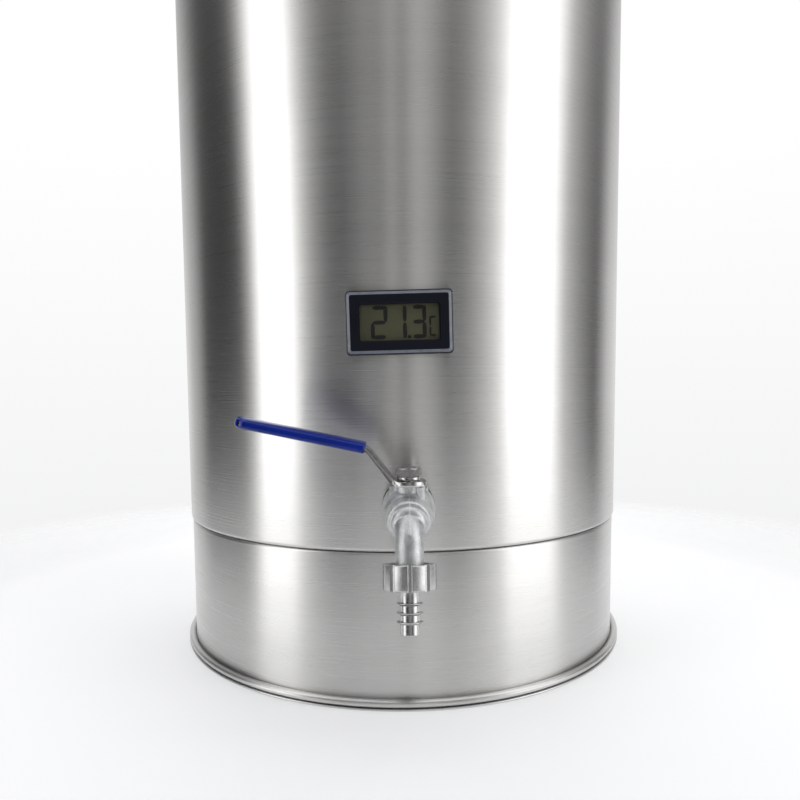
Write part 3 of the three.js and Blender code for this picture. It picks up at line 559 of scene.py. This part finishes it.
def handle_bar():
    """A bent round bar on two square feet, which are curved to the wall and tapped for screws from inside."""
    foot, out, half = JACKET_R - 12, HANDLE_X, HANDLE_SPREAD
    bar_r, gap, foot_top, tapped_r = 4.5, 0.15, 2.5, 2.6
    path = eased([(foot, -half, 0), (out, -half, 0), (out, half, 0), (foot, half, 0)], 18, 12)
    plates = at_feet(lambda: prism(rounded_box(26, 26, 6), 0, 40))
    skin = cut(wall_cylinder(JACKET_R + foot_top), wall_cylinder(JACKET_R + gap))
    feet = softened(combined("INTERSECT", joined(*plates), skin), 0.6)
    bar = joined(swept(path, bar_r, 40), feet)
    return cut(bar, wall_cylinder(JACKET_R + gap), *at_feet(lambda: disc(tapped_r, 0, 28, 24)))


def handle_grip():
    """A sleeve with shallow finger waves and rounded ends."""
    half, grip_r, bore = HANDLE_SPREAD - 19, 8.5, 4.8
    profile = [(bore, -half)]
    for i in range(65):
        t = i / 32 - 1
        wave = 0.35 * cos(4 * pi * t) if abs(t) < 0.9 else 0
        profile.append((min(grip_r - 2.2 * abs(t) ** 8 - wave, grip_r), half * t))
    profile.append((bore, half))
    return moved(turned(profile, 64), FRONT, Matrix.Translation((HANDLE_X, 0, 0)))


for side, turn in (("right", 0), ("left", pi)):
    place = Matrix.Translation((0, 0, HANDLE_Z)) @ Matrix.Rotation(turn, 4, "Z")
    piece("bar_" + side, moved(handle_bar(), place), polished, "kettle", ["handle_" + side])
    sleeve = moved(handle_grip(), place)
    piece("grip_" + side, sleeve, phenolic, "kettle", ["handle_grip_" + side])


# ---------- thermometer ----------
def meter_case():
    """A case skinned over rings of a rounded box, from its back to its bezel, with the window cut through."""
    front, back = -2.7, 12.5

    def box_ring(inset, y, radius):
        outline = rounded_box(METER_SIZE[0] - 2 * inset, METER_SIZE[1] - 2 * inset, radius)
        return [(x, y, z) for x, z in outline]

    case = loft([
        box_ring(1.4, back, 1.2), box_ring(1.4, -0.3, 1.2), box_ring(0.1, -0.3, 1.8), box_ring(0, -0.45, 1.8),
        box_ring(0, front + 1.5, 1.8), box_ring(0.15, front + 1.15, 1.7), box_ring(0.6, front + 0.95, 1.5),
        box_ring(1.7, front + 0.12, 1.1), box_ring(1.9, front, 1.0), box_ring(2.4, front, 1.0),
    ])
    width, height = METER_WINDOW
    steps = [(0.8, front - 0.5), (0.8, front + 0.6), (0, front + 0.8), (0, back + 1)]
    window_rings = []
    for grow, y in steps:
        outline = rounded_box(width + 2 * grow, height + 2 * grow, 1.0 + grow)
        window_rings.append([(x, y, z) for x, z in outline])
    opening = loft(window_rings)
    hollow = prism(rounded_box(METER_SIZE[0] - 5.2, METER_SIZE[1] - 5.2, 0.8), -back - 1, -(front + 1.9))
    return moved(cut(case, opening, moved(hollow, FRONT)), METER_PLACE)


# A figure's bars are a at the top, g in the middle, d at the bottom, f and e down the left side, and b and c
# down the right side. INWARD is the way each one moves to stay inside the figure's corners.
SEGMENTS = {"2": "abged", "1": "bc", "3": "abgcd", "C": "afed"}
INWARD = {"a": (0, -1), "g": (0, 0), "d": (0, 1), "b": (-1, 0), "c": (-1, 0), "e": (1, 0), "f": (1, 0)}
FIGURE_DEPTH = 0.15


def bulged(value, power):
    """A sine or cosine made fuller, for ovals with flatter sides."""
    return abs(value) ** power * (1 if value >= 0 else -1)


def digit(character, x0, x1, z0, z1, width):
    """The oval bars of one figure between two corners."""
    zm, half = (z0 + z1) / 2, width / 2
    spans = {
        "a": ((x0, z1), (x1, z1)), "g": ((x0, zm), (x1, zm)), "d": ((x0, z0), (x1, z0)),
        "b": ((x1, zm), (x1, z1)), "c": ((x1, z0), (x1, zm)),
        "e": ((x0, z0), (x0, zm)), "f": ((x0, zm), (x0, z1)),
    }
    bars = []
    for key in SEGMENTS[character]:
        start, end = (Vector(p) + Vector(INWARD[key]) * half for p in spans[key])
        along = (end - start).normalized()
        across = Vector((-along.y, along.x)) * half
        middle, gap = (start + end) / 2, half * 1.1 if key in "agd" else 0.2
        reach = (end - start).length / 2 - gap
        turns = [2 * pi * k / 32 for k in range(32)]
        outline = [middle + along * reach * bulged(cos(a), 0.7) + across * bulged(sin(a), 0.8) for a in turns]
        bars.append(moved(prism([tuple(p) for p in outline], 0, FIGURE_DEPTH), FRONT))
    return bars


def meter_figures():
    bars = [*digit("2", -12.9, -5.3, -7.2, 7.6, 1.8), *digit("1", -3.0, 3.3, -7.2, 7.6, 1.8),
            *digit("3", 5.3, 12.1, -7.2, 7.6, 1.8), *digit("C", 13.3, 16.7, -6.4, 2.6, 0.9)]
    point = moved(disc(0.75, 0, FIGURE_DEPTH, 24), FRONT, Matrix.Translation((4.3, 0, -6.4)))
    return moved(gathered([*bars, point]), Matrix.Translation((0, 0.47, 0)), METER_PLACE)


bezel = piece("meter_bezel", meter_case(), plastic, "kettle", ["meter_case"])
bezel.data.materials.append(painted_highlight_plastic)
for polygon in bezel.data.polygons:      # painted highlight: the bezel's sloping edge, outside the window, gets the paler plastic so that it looks lit
    centre, slope = polygon.center * 1000 - METER_AT, hypot(polygon.normal.x, polygon.normal.z)
    in_window = abs(centre.x) < METER_WINDOW[0] / 2 + 2 and abs(centre.z) < METER_WINDOW[1] / 2 + 2
    if -2.65 < centre.y < -1.85 and slope > 0.3 and not in_window:
        polygon.material_index = 1
piece("meter_figures", meter_figures(), segment, "kettle")


# ---------- tap ----------
SPOUT_DIR = Vector((0, -sin(SPOUT_LEAN), -cos(SPOUT_LEAN)))


def bend_path(start_degrees, steps=20):
    """The mid-line of the bend from the barrel down into the leaning spout."""
    centre = (SPOUT_TOP.y - SPOUT_BEND * SPOUT_DIR.z, SPOUT_TOP.z + SPOUT_BEND * SPOUT_DIR.y)
    last = 90 - LEAN_DEGREES
    angles = [radians(start_degrees + (last - start_degrees) * i / steps) for i in range(steps + 1)]
    points = [Vector((0, centre[0] - SPOUT_BEND * sin(a), centre[1] + SPOUT_BEND * cos(a))) for a in angles]
    return [*points, points[-1] + SPOUT_DIR * 2]


LEAN = Matrix.Translation(SPOUT_TOP) @ Matrix.Rotation(-SPOUT_LEAN, 4, "X")
STEM_LINE = Matrix.Translation((0, STEM_Y, 0))


def tap_outside():
    """The barrel, its shoulder, the bonnet with three ears, the bent spout and its collar, joined."""
    barrel = [(0, 2.7), (11.4, 2.7), *arc((11.4, 3.2), 0.5, -90, 0, 3), (11.9, 5.6), (11.1, 7.2),
              (BARREL_R, 8.6), (BARREL_R, 14), *arc((0, 14), BARREL_R, 10, 80, 12), (0, 25.7)]
    shoulder = [(0, 0), (BARREL_R, 0), (11.0, 3), (9.5, 11), (8.9, 11.8), (7.4, 12.2),
                *arc((4.2, 11), 3.6, 20, 75, 5), (0, 14.6)]
    tipped = Matrix.Translation((0, -13, 0)) @ Matrix.Rotation(radians(14), 4, "X")
    parts = [moved(turned(barrel, 96), FRONT), moved(turned(shoulder, 96), FRONT, tipped)]
    parts.append(moved(disc(5.8, 3, 11.9), STEM_LINE))
    for degrees in (-42, 132, 180):
        ear = block(4.0, 8.4, -1.3, 1.3, 7, 11.9)
        parts.append(moved(ear, turned_by(degrees), STEM_LINE))
    parts += [swept(bend_path(8), SPOUT_R, 48), moved(disc(SPOUT_R, -13, 0.1), LEAN),
              moved(disc(COLLAR_R, -13, -9), LEAN)]
    return joined(*parts)


def tap_inside():
    """The ball's chamber, the bores, the stem's hole and the recess that the lever's stop runs in."""
    chamber = (disc(8.5, 2, 8), disc(7.5, 7.9, 22.4), disc(SPOUT_BORE, 22, 26, 32))
    found = [moved(part, FRONT) for part in chamber]
    sector = prism([(0, 0), *arc((0, 0), 14, -28, 118, 16)], 9, 15)
    found.append(moved(combined("INTERSECT", ring(5.8, 9.3, 9.4, 14), sector), STEM_LINE))
    found += [swept(bend_path(14), SPOUT_BORE, 32), moved(disc(SPOUT_BORE, -14, 1, 32), LEAN),
              moved(disc(4.9, 4, 13), STEM_LINE)]
    return found


def tap_body():
    """The casting: its parts melt into each other, with a parting ridge down the front and a gate mark."""
    body = modified(tap_outside(), ("REMESH", {"mode": "VOXEL", "voxel_size": 0.27}),
                    ("SMOOTH", {"factor": 0.5, "iterations": 3}))
    ridge_height, ridge_half = 0.28, 0.5
    mark_depth, mark_r, mark_z = 0.45, 1.1, 9.9
    for vertex in body.vertices:
        p, n = vertex.co, vertex.normal
        if n.y < -0.2 and p.z > -6:
            vertex.co = p + n * ridge_height * max(0, 1 - abs(p.x) / ridge_half)
        dent = hypot(p.x, p.z - mark_z) / mark_r
        if n.y < -0.5 and dent < 1:
            vertex.co = p - n * mark_depth * (1 - dent * dent)
    return moved(cut(body, *tap_inside()), TAP_AT)


def tap_gasket():
    made = moved(ring(8.5, 12, -2, 2.4, 96), FRONT, TAP_AT)
    return cut(made, wall_cylinder(JACKET_R + 0.1, TAP.z - 40, TAP.z + 40))


# the lever's side view, as (x, z) from the stem: down-turned stop, flat eye, slope up and dipped handle
LEVER_PATH = [(7.4, 9.8), (7.4, LEVER_Z), (-6.3, LEVER_Z), (-17.6, 28.2), (-71.4, 39.7)]
KNEE, TIP = Vector(LEVER_PATH[3]), Vector(LEVER_PATH[4])


def lever_arm():
    """A folded strip: its side view swept across, cut to its plan view."""
    strip = moved(prism(sheet_outline(eased(LEVER_PATH, 2.4), 2), -8.5, 8.5), FRONT)
    eye = cut(disc(8.4, 0, 20, 96), block(6.2, 9, -9, 9, -1, 12))
    arm = prism([(-72, -5), (-4, -5.6), (-4, 5.6), (-72, 5)], 0, 50)
    stop = block(6, 9, -3, 3, 5, 20)
    bar = cut(combined("INTERSECT", strip, joined(eye, arm, stop)), disc(STEM_HOLE, 5, 20, 48))
    return moved(softened(bar, 0.3, 3, 30), STEM_AT)


def lever_grip():
    """A dipped sleeve made along Z from the knee: an eased mouth, a flat oval section and a round tip."""
    length = (TIP - KNEE).length
    slope = atan2(TIP.y - KNEE.y, KNEE.x - TIP.x)
    mouth, end, tip_at = 0.8, length + 3, length - 4
    half_thickness, half_width, tip_r, tip_rounding = 2.6, 6.8, 7.1, 2.4
    stations = [mouth, 1.0, 1.6, 3, *[3 + (tip_at - 6) * i / 10 for i in range(1, 11)]]
    stations += [tip_at + (end - tip_at) * sin(radians(a)) for a in range(0, 91, 6)]
    rings = []
    for s in stations:
        width = min(half_width, tip_r * sqrt(1 - (max(0, s - tip_at) / (end - tip_at + 0.05)) ** 2))
        ease = 1 - 0.18 * (1 - min(1, (s - mouth) / mouth)) ** 2
        close = max(0, (s - (end - tip_rounding)) / (tip_rounding + 0.02))
        thickness = half_thickness * ease * sqrt(1 - close * close)
        rings.append([])
        for k in range(48):
            a = 2 * pi * k / 48
            rings[-1].append((bulged(cos(a), 0.6) * thickness, bulged(sin(a), 0.8) * width * ease, s))
    strip = block(-1.15, 1.15, -6, 6, -1, length + 0.6)
    along_handle = Matrix.Translation((KNEE.x, 0, KNEE.y)) @ Matrix.Rotation(-pi / 2 + slope, 4, "Y")
    return moved(cut(loft(rings), strip), along_handle, STEM_AT)


def hexagon(across_flats):
    r = across_flats / 2 / cos(pi / 6)
    return [(r * cos(radians(60 * i)), r * sin(radians(60 * i))) for i in range(6)]


def stem_nut():
    """A hexagon nut with both faces chamfered."""
    nut = prism(hexagon(10), 0, 3.5)
    chamfer = turned([(0, -0.1), (5.2, -0.1), (5.9, 0.35), (5.9, 2.75), (4.9, 3.6), (0, 3.6)], 96)
    made = cut(combined("INTERSECT", nut, chamfer), disc(STEM_HOLE, -1, 5, 48))
    return moved(made, Matrix.Translation((0, 0, LEVER_Z + 3)), STEM_AT)


def union_nut():
    """A round nut with grooves for the fingers, one of them to the front."""
    corner, corner_at, grooves = 0.6, 10.5, 9
    round_nut = turned([(0, -18.5), *arc((corner_at, -17.9), corner, -90, 0, 4),
                        *arc((corner_at, -8.5), corner, 0, 90, 4), (0, -7.9)])
    groove = [(x + 11.4, y) for x, y in rounded_box(3.2, 2.6, 0.9)]
    cutters = [moved(prism(groove, -20, -6), turned_by(360 / grooves * i - 90)) for i in range(grooves)]
    return moved(cut(round_nut, *cutters, disc(8.5, -16.4, -6), disc(TAIL_R + 0.4, -20, -6)), SPOUT_AT)


def hose_tail():
    """A tube with three thin rings for the hose and a flange inside the union nut."""
    low, flange_low, flange_high, flange_r, edge = -36.5, -16, -14.2, 7.9, 0.2
    outline = [(TAIL_BORE, low + 0.3), (TAIL_BORE + edge, low), (TAIL_R - edge, low), (TAIL_R, low + edge)]
    for z in (-31.1, -27.4, -23.6):
        outline += [(TAIL_R, z - 1.2), (TAIL_R + 1.25, z - 0.45),
                    *arc((TAIL_R + 1.2, z - 0.2), 0.2, -30, 90, 4), (TAIL_R, z + 0.1)]
    outline += [(TAIL_R, flange_low - 0.3), (TAIL_R + 0.15, flange_low), (flange_r - edge, flange_low),
                (flange_r, flange_low + edge), (flange_r, flange_high - edge), (flange_r - edge, flange_high),
                (TAIL_BORE, flange_high)]
    return moved(turned(outline, 96), SPOUT_AT)


def spring_washer():
    return moved(softened(ring(STEM_HOLE, 5, LEVER_Z + 1.3, LEVER_Z + 2.7, 96), 0.25), STEM_AT)


piece("tap_casting", tap_body(), cast, "kettle", ["tap_body"], sharp=50)
piece("gasket", tap_gasket(), rubber, "kettle", ["tap_gasket"])
piece("lever_bar", lever_arm(), polished, "lever", ["lever_arm"], sharp=None)
piece("grip_sleeve", lever_grip(), vinyl, "lever", ["lever_grip"], sharp=50)
piece("spring_washer", spring_washer(), polished, "lever", ["lever_washer"], sharp=None)
piece("hex_nut", stem_nut(), polished, "lever", ["stem_nut"], sharp=22)
piece("lobed_nut", union_nut(), satin, "union", ["union_nut"], sharp=30)
piece("barbed_tail", hose_tail(), polished, "tail", ["hose_tail"])


# ---------- thermostat knob and its numbered dial ----------
def control_place(y):
    return (Matrix.Translation((0, 0, CONTROLS_Z)) @ Matrix.Rotation(-KNOB_AZIMUTH, 4, "Z")
            @ Matrix.Translation((0, y, 0)) @ BACK)


def thermostat_knob():
    """A round knob with six finger grooves and a pointer line sunk in its face."""
    profile = [(0, 0), (KNOB_R - 0.4, 0), (KNOB_R, 0.4), (KNOB_R, 2.2), (KNOB_R - 0.8, 3.0),
               (KNOB_R - 1.4, 12.8), *arc((KNOB_R - 3.4, 13), 2.0, 0, 90, 8), (0, 15)]
    grooves = []
    for i in range(6):
        groove = moved(disc(2.6, 4.4, 20, 32), Matrix.Translation((KNOB_R, 0, 0)))
        grooves.append(moved(groove, turned_by(60 * i + 30)))
    pointer = block(-0.9, 0.9, 5, 16, 14.2, 16)
    made = cut(turned(profile, 120), *grooves, pointer, disc(3.3, -1, 11, 48))
    return moved(softened(made, 0.35, 2, 40), control_place(FACE_Y + 0.3))


def thermostat_dial():
    """A round plate behind the knob, cut to the skirt's curve."""
    made = moved(softened(ring(3.6, DIAL_R, -12, 0, 120), 0.5), control_place(FACE_Y))
    return cut(made, wall_cylinder(SKIRT_R + 0.3, 0, 80))


def number(value, size, relief):
    """The digits of a number as a thin solid in the XY plane, centred on the origin."""
    text = bpy.data.curves.new("figures", "FONT")
    text.body, text.size, text.extrude = str(value), size, relief
    text.align_x = text.align_y = "CENTER"
    holder = bpy.data.objects.new("figures", text)
    bpy.context.scene.collection.objects.link(holder)
    bpy.context.view_layer.update()
    graph = bpy.context.evaluated_depsgraph_get()
    made = bpy.data.meshes.new_from_object(holder.evaluated_get(graph), depsgraph=graph)
    bpy.data.objects.remove(holder)
    return made


def dial_print():
    """Eight numbers round the dial with their tops outward, each mirrored along its own X axis."""
    circle_r, relief, mirrored = DIAL_R - 2.4, 0.05, Matrix.Scale(-1, 4, Vector((1, 0, 0)))
    numbers = []
    for i in range(8):
        a = radians(140 - 40 * i)
        place = Matrix.Translation((circle_r * sin(a), circle_r * cos(a), relief))
        figures = moved(number(30 + 10 * i, 2.9, relief), place @ Matrix.Rotation(-a, 4, "Z") @ mirrored)
        figures.flip_normals()
        numbers.append(figures)
    return moved(gathered(numbers), control_place(FACE_Y))


piece("control_knob", thermostat_knob(), plastic, "thermostat_knob", ["thermostat_knob"],
      sharp=None)
piece("control_dial", thermostat_dial(), plastic, "kettle", ["thermostat_dial"], sharp=40)
piece("dial_figures", dial_print(), ink, "kettle")


# ---------- floor, light and camera ----------
def floor():
    """A pale disc that fades out into the backdrop, so only its near part shows in the steel; it glows all
    over, and most strongly near the kettle, which is painted light that lifts the shade round the kettle's
    foot.
    """
    made = bpy.data.materials.new("pale_floor")
    made.use_nodes = True
    tree = made.node_tree
    surface = tree.nodes["Principled BSDF"]
    place = add(tree, "ShaderNodeTexCoord").outputs["Object"]
    speck = noise(tree, place, (60, 60, 60), 3.0)
    tree.links.new(spread(tree, speck, 0.55, 0.65), surface.inputs["Roughness"])
    surface.inputs["Base Color"].default_value = (0.86, 0.865, 0.87, 1)
    surface.inputs["Emission Color"].default_value = (0.97, 0.98, 1.0, 1)
    reach = add(tree, "ShaderNodeVectorMath", {0: place}, operation="LENGTH").outputs["Value"]
    # painted light: the floor glows more strongly near the kettle, so the shade round its foot is lifted
    tree.links.new(spread(tree, reach, 0.2, 0.12, 0.12, 0.36), surface.inputs["Emission Strength"])
    tree.links.new(spread(tree, reach, 1.0, 0.0, 0.3, 0.52), surface.inputs["Alpha"])
    mesh = moved(disc(560, -0.5, -0.1, 128), METRES)
    mesh.materials.append(made)
    obj = bpy.data.objects.new("floor", mesh)
    bpy.context.scene.collection.objects.link(obj)


# The walls of the studio, which the steel mirrors as upright bands: degrees from the front towards +X, and
# brightness.
BANDS = [
    (-180, 0.85), (-150, 0.8), (-128, 0.45), (-116, 0.06), (-94, 0.05), (-86, 0.1), (-79, 0.7), (-72, 2.6),
    (-56, 2.3), (-50, 0.8), (-43, 0.3), (-35, 0.06), (-25, 0.04), (-17, 0.2), (-9, 0.17), (-4, 0.4),
    (1, 0.16), (8, 0.5), (15, 0.35), (23, 0.08), (31, 0.16), (40, 0.5), (49, 1.0), (55, 2.3), (79, 2.4),
    (88, 0.8), (100, 0.4), (116, 0.1), (132, 0.7), (152, 0.85), (180, 0.85),
]
WALL_POWER = 4.0         # the colour ramp holds brightness up to 1, so the walls are this much stronger


def studio():
    """Walls of bands below a white ceiling, with a pale paper backdrop for the camera alone."""
    world = bpy.data.worlds.new("studio")
    bpy.context.scene.world = world
    world.use_nodes = True
    tree = world.node_tree
    tree.nodes.clear()
    direction = add(tree, "ShaderNodeTexCoord").outputs["Generated"]
    ways = add(tree, "ShaderNodeSeparateXYZ", {"Vector": direction})
    forward = add(tree, "ShaderNodeMath", {0: ways.outputs["Y"], 1: -1.0}, operation="MULTIPLY")
    sides = {0: ways.outputs["X"], 1: forward.outputs[0]}
    azimuth = add(tree, "ShaderNodeMath", sides, operation="ARCTAN2")
    ramp = add(tree, "ShaderNodeValToRGB", {"Fac": spread(tree, azimuth.outputs[0], 0, 1, -pi, pi)})
    stops = ramp.color_ramp.elements
    stops.remove(stops[1])
    for i, (degrees, value) in enumerate(BANDS):
        stop = stops.new((degrees + 180) / 360) if i else stops[0]
        stop.color = (*[value / WALL_POWER] * 3, 1)
    above = spread(tree, ways.outputs["Z"], 0.0, 1.0, 0.5, 0.95)
    wall = add(tree, "ShaderNodeBackground", {"Color": ramp.outputs["Color"], "Strength": WALL_POWER})
    ceiling = add(tree, "ShaderNodeBackground", {"Color": (1, 1, 1, 1), "Strength": 1.1})
    dome = add(tree, "ShaderNodeMixShader", {0: above, 1: wall.outputs[0], 2: ceiling.outputs[0]})
    height = spread(tree, ways.outputs["Z"], 0.0, 1.0, -0.25, 0.3)
    paper = add(tree, "ShaderNodeValToRGB", {"Fac": height})
    paper.color_ramp.elements[0].color = (0.88, 0.885, 0.89, 1)
    paper.color_ramp.elements[1].color = (1.0, 1.0, 1.0, 1)
    backdrop = add(tree, "ShaderNodeBackground", {"Color": paper.outputs["Color"], "Strength": 1.0})
    seen = add(tree, "ShaderNodeLightPath").outputs["Is Camera Ray"]
    mixed = add(tree, "ShaderNodeMixShader", {0: seen, 1: dome.outputs[0], 2: backdrop.outputs[0]})
    add(tree, "ShaderNodeOutputWorld", {"Surface": mixed.outputs[0]})


def softbox(name, location, aim, size, power):
    light = bpy.data.lights.new(name, "AREA")
    light.shape, light.energy = "RECTANGLE", power
    light.size, light.size_y = size
    obj = bpy.data.objects.new(name, light)
    obj.location = location
    obj.rotation_euler = (Vector(aim) - Vector(location)).to_track_quat("-Z", "Y").to_euler()
    bpy.context.scene.collection.objects.link(obj)


def camera():
    """A hand-held view from just in front of the tap: tipped down a little and hardly rolled."""
    pitch, roll = 0.0787, -0.0083        # radians
    forward = Vector((0, cos(pitch), -sin(pitch)))
    level, upright = Vector((1, 0, 0)), Vector((0, sin(pitch), cos(pitch)))
    right = level * cos(roll) + upright * sin(roll)
    up = upright * cos(roll) - level * sin(roll)
    view = bpy.data.cameras.new("camera")
    view.sensor_width, view.lens, view.shift_y = 36, 31.23, 0.0461
    view.clip_start = 0.01
    obj = bpy.data.objects.new("camera", view)
    axes = Matrix((right, up, -forward)).transposed().to_4x4()
    obj.matrix_world = Matrix.Translation((-0.0011, -0.44387, 0.15226)) @ axes
    bpy.context.scene.collection.objects.link(obj)
    bpy.context.scene.camera = obj


floor()
studio()
softbox("key", (0.0, 0.25, 1.5), (0, 0, 0.1), (0.9, 0.9), 5)
camera()
bpy.context.scene.view_settings.view_transform = "Standard"

bpy.context.view_layer.update()
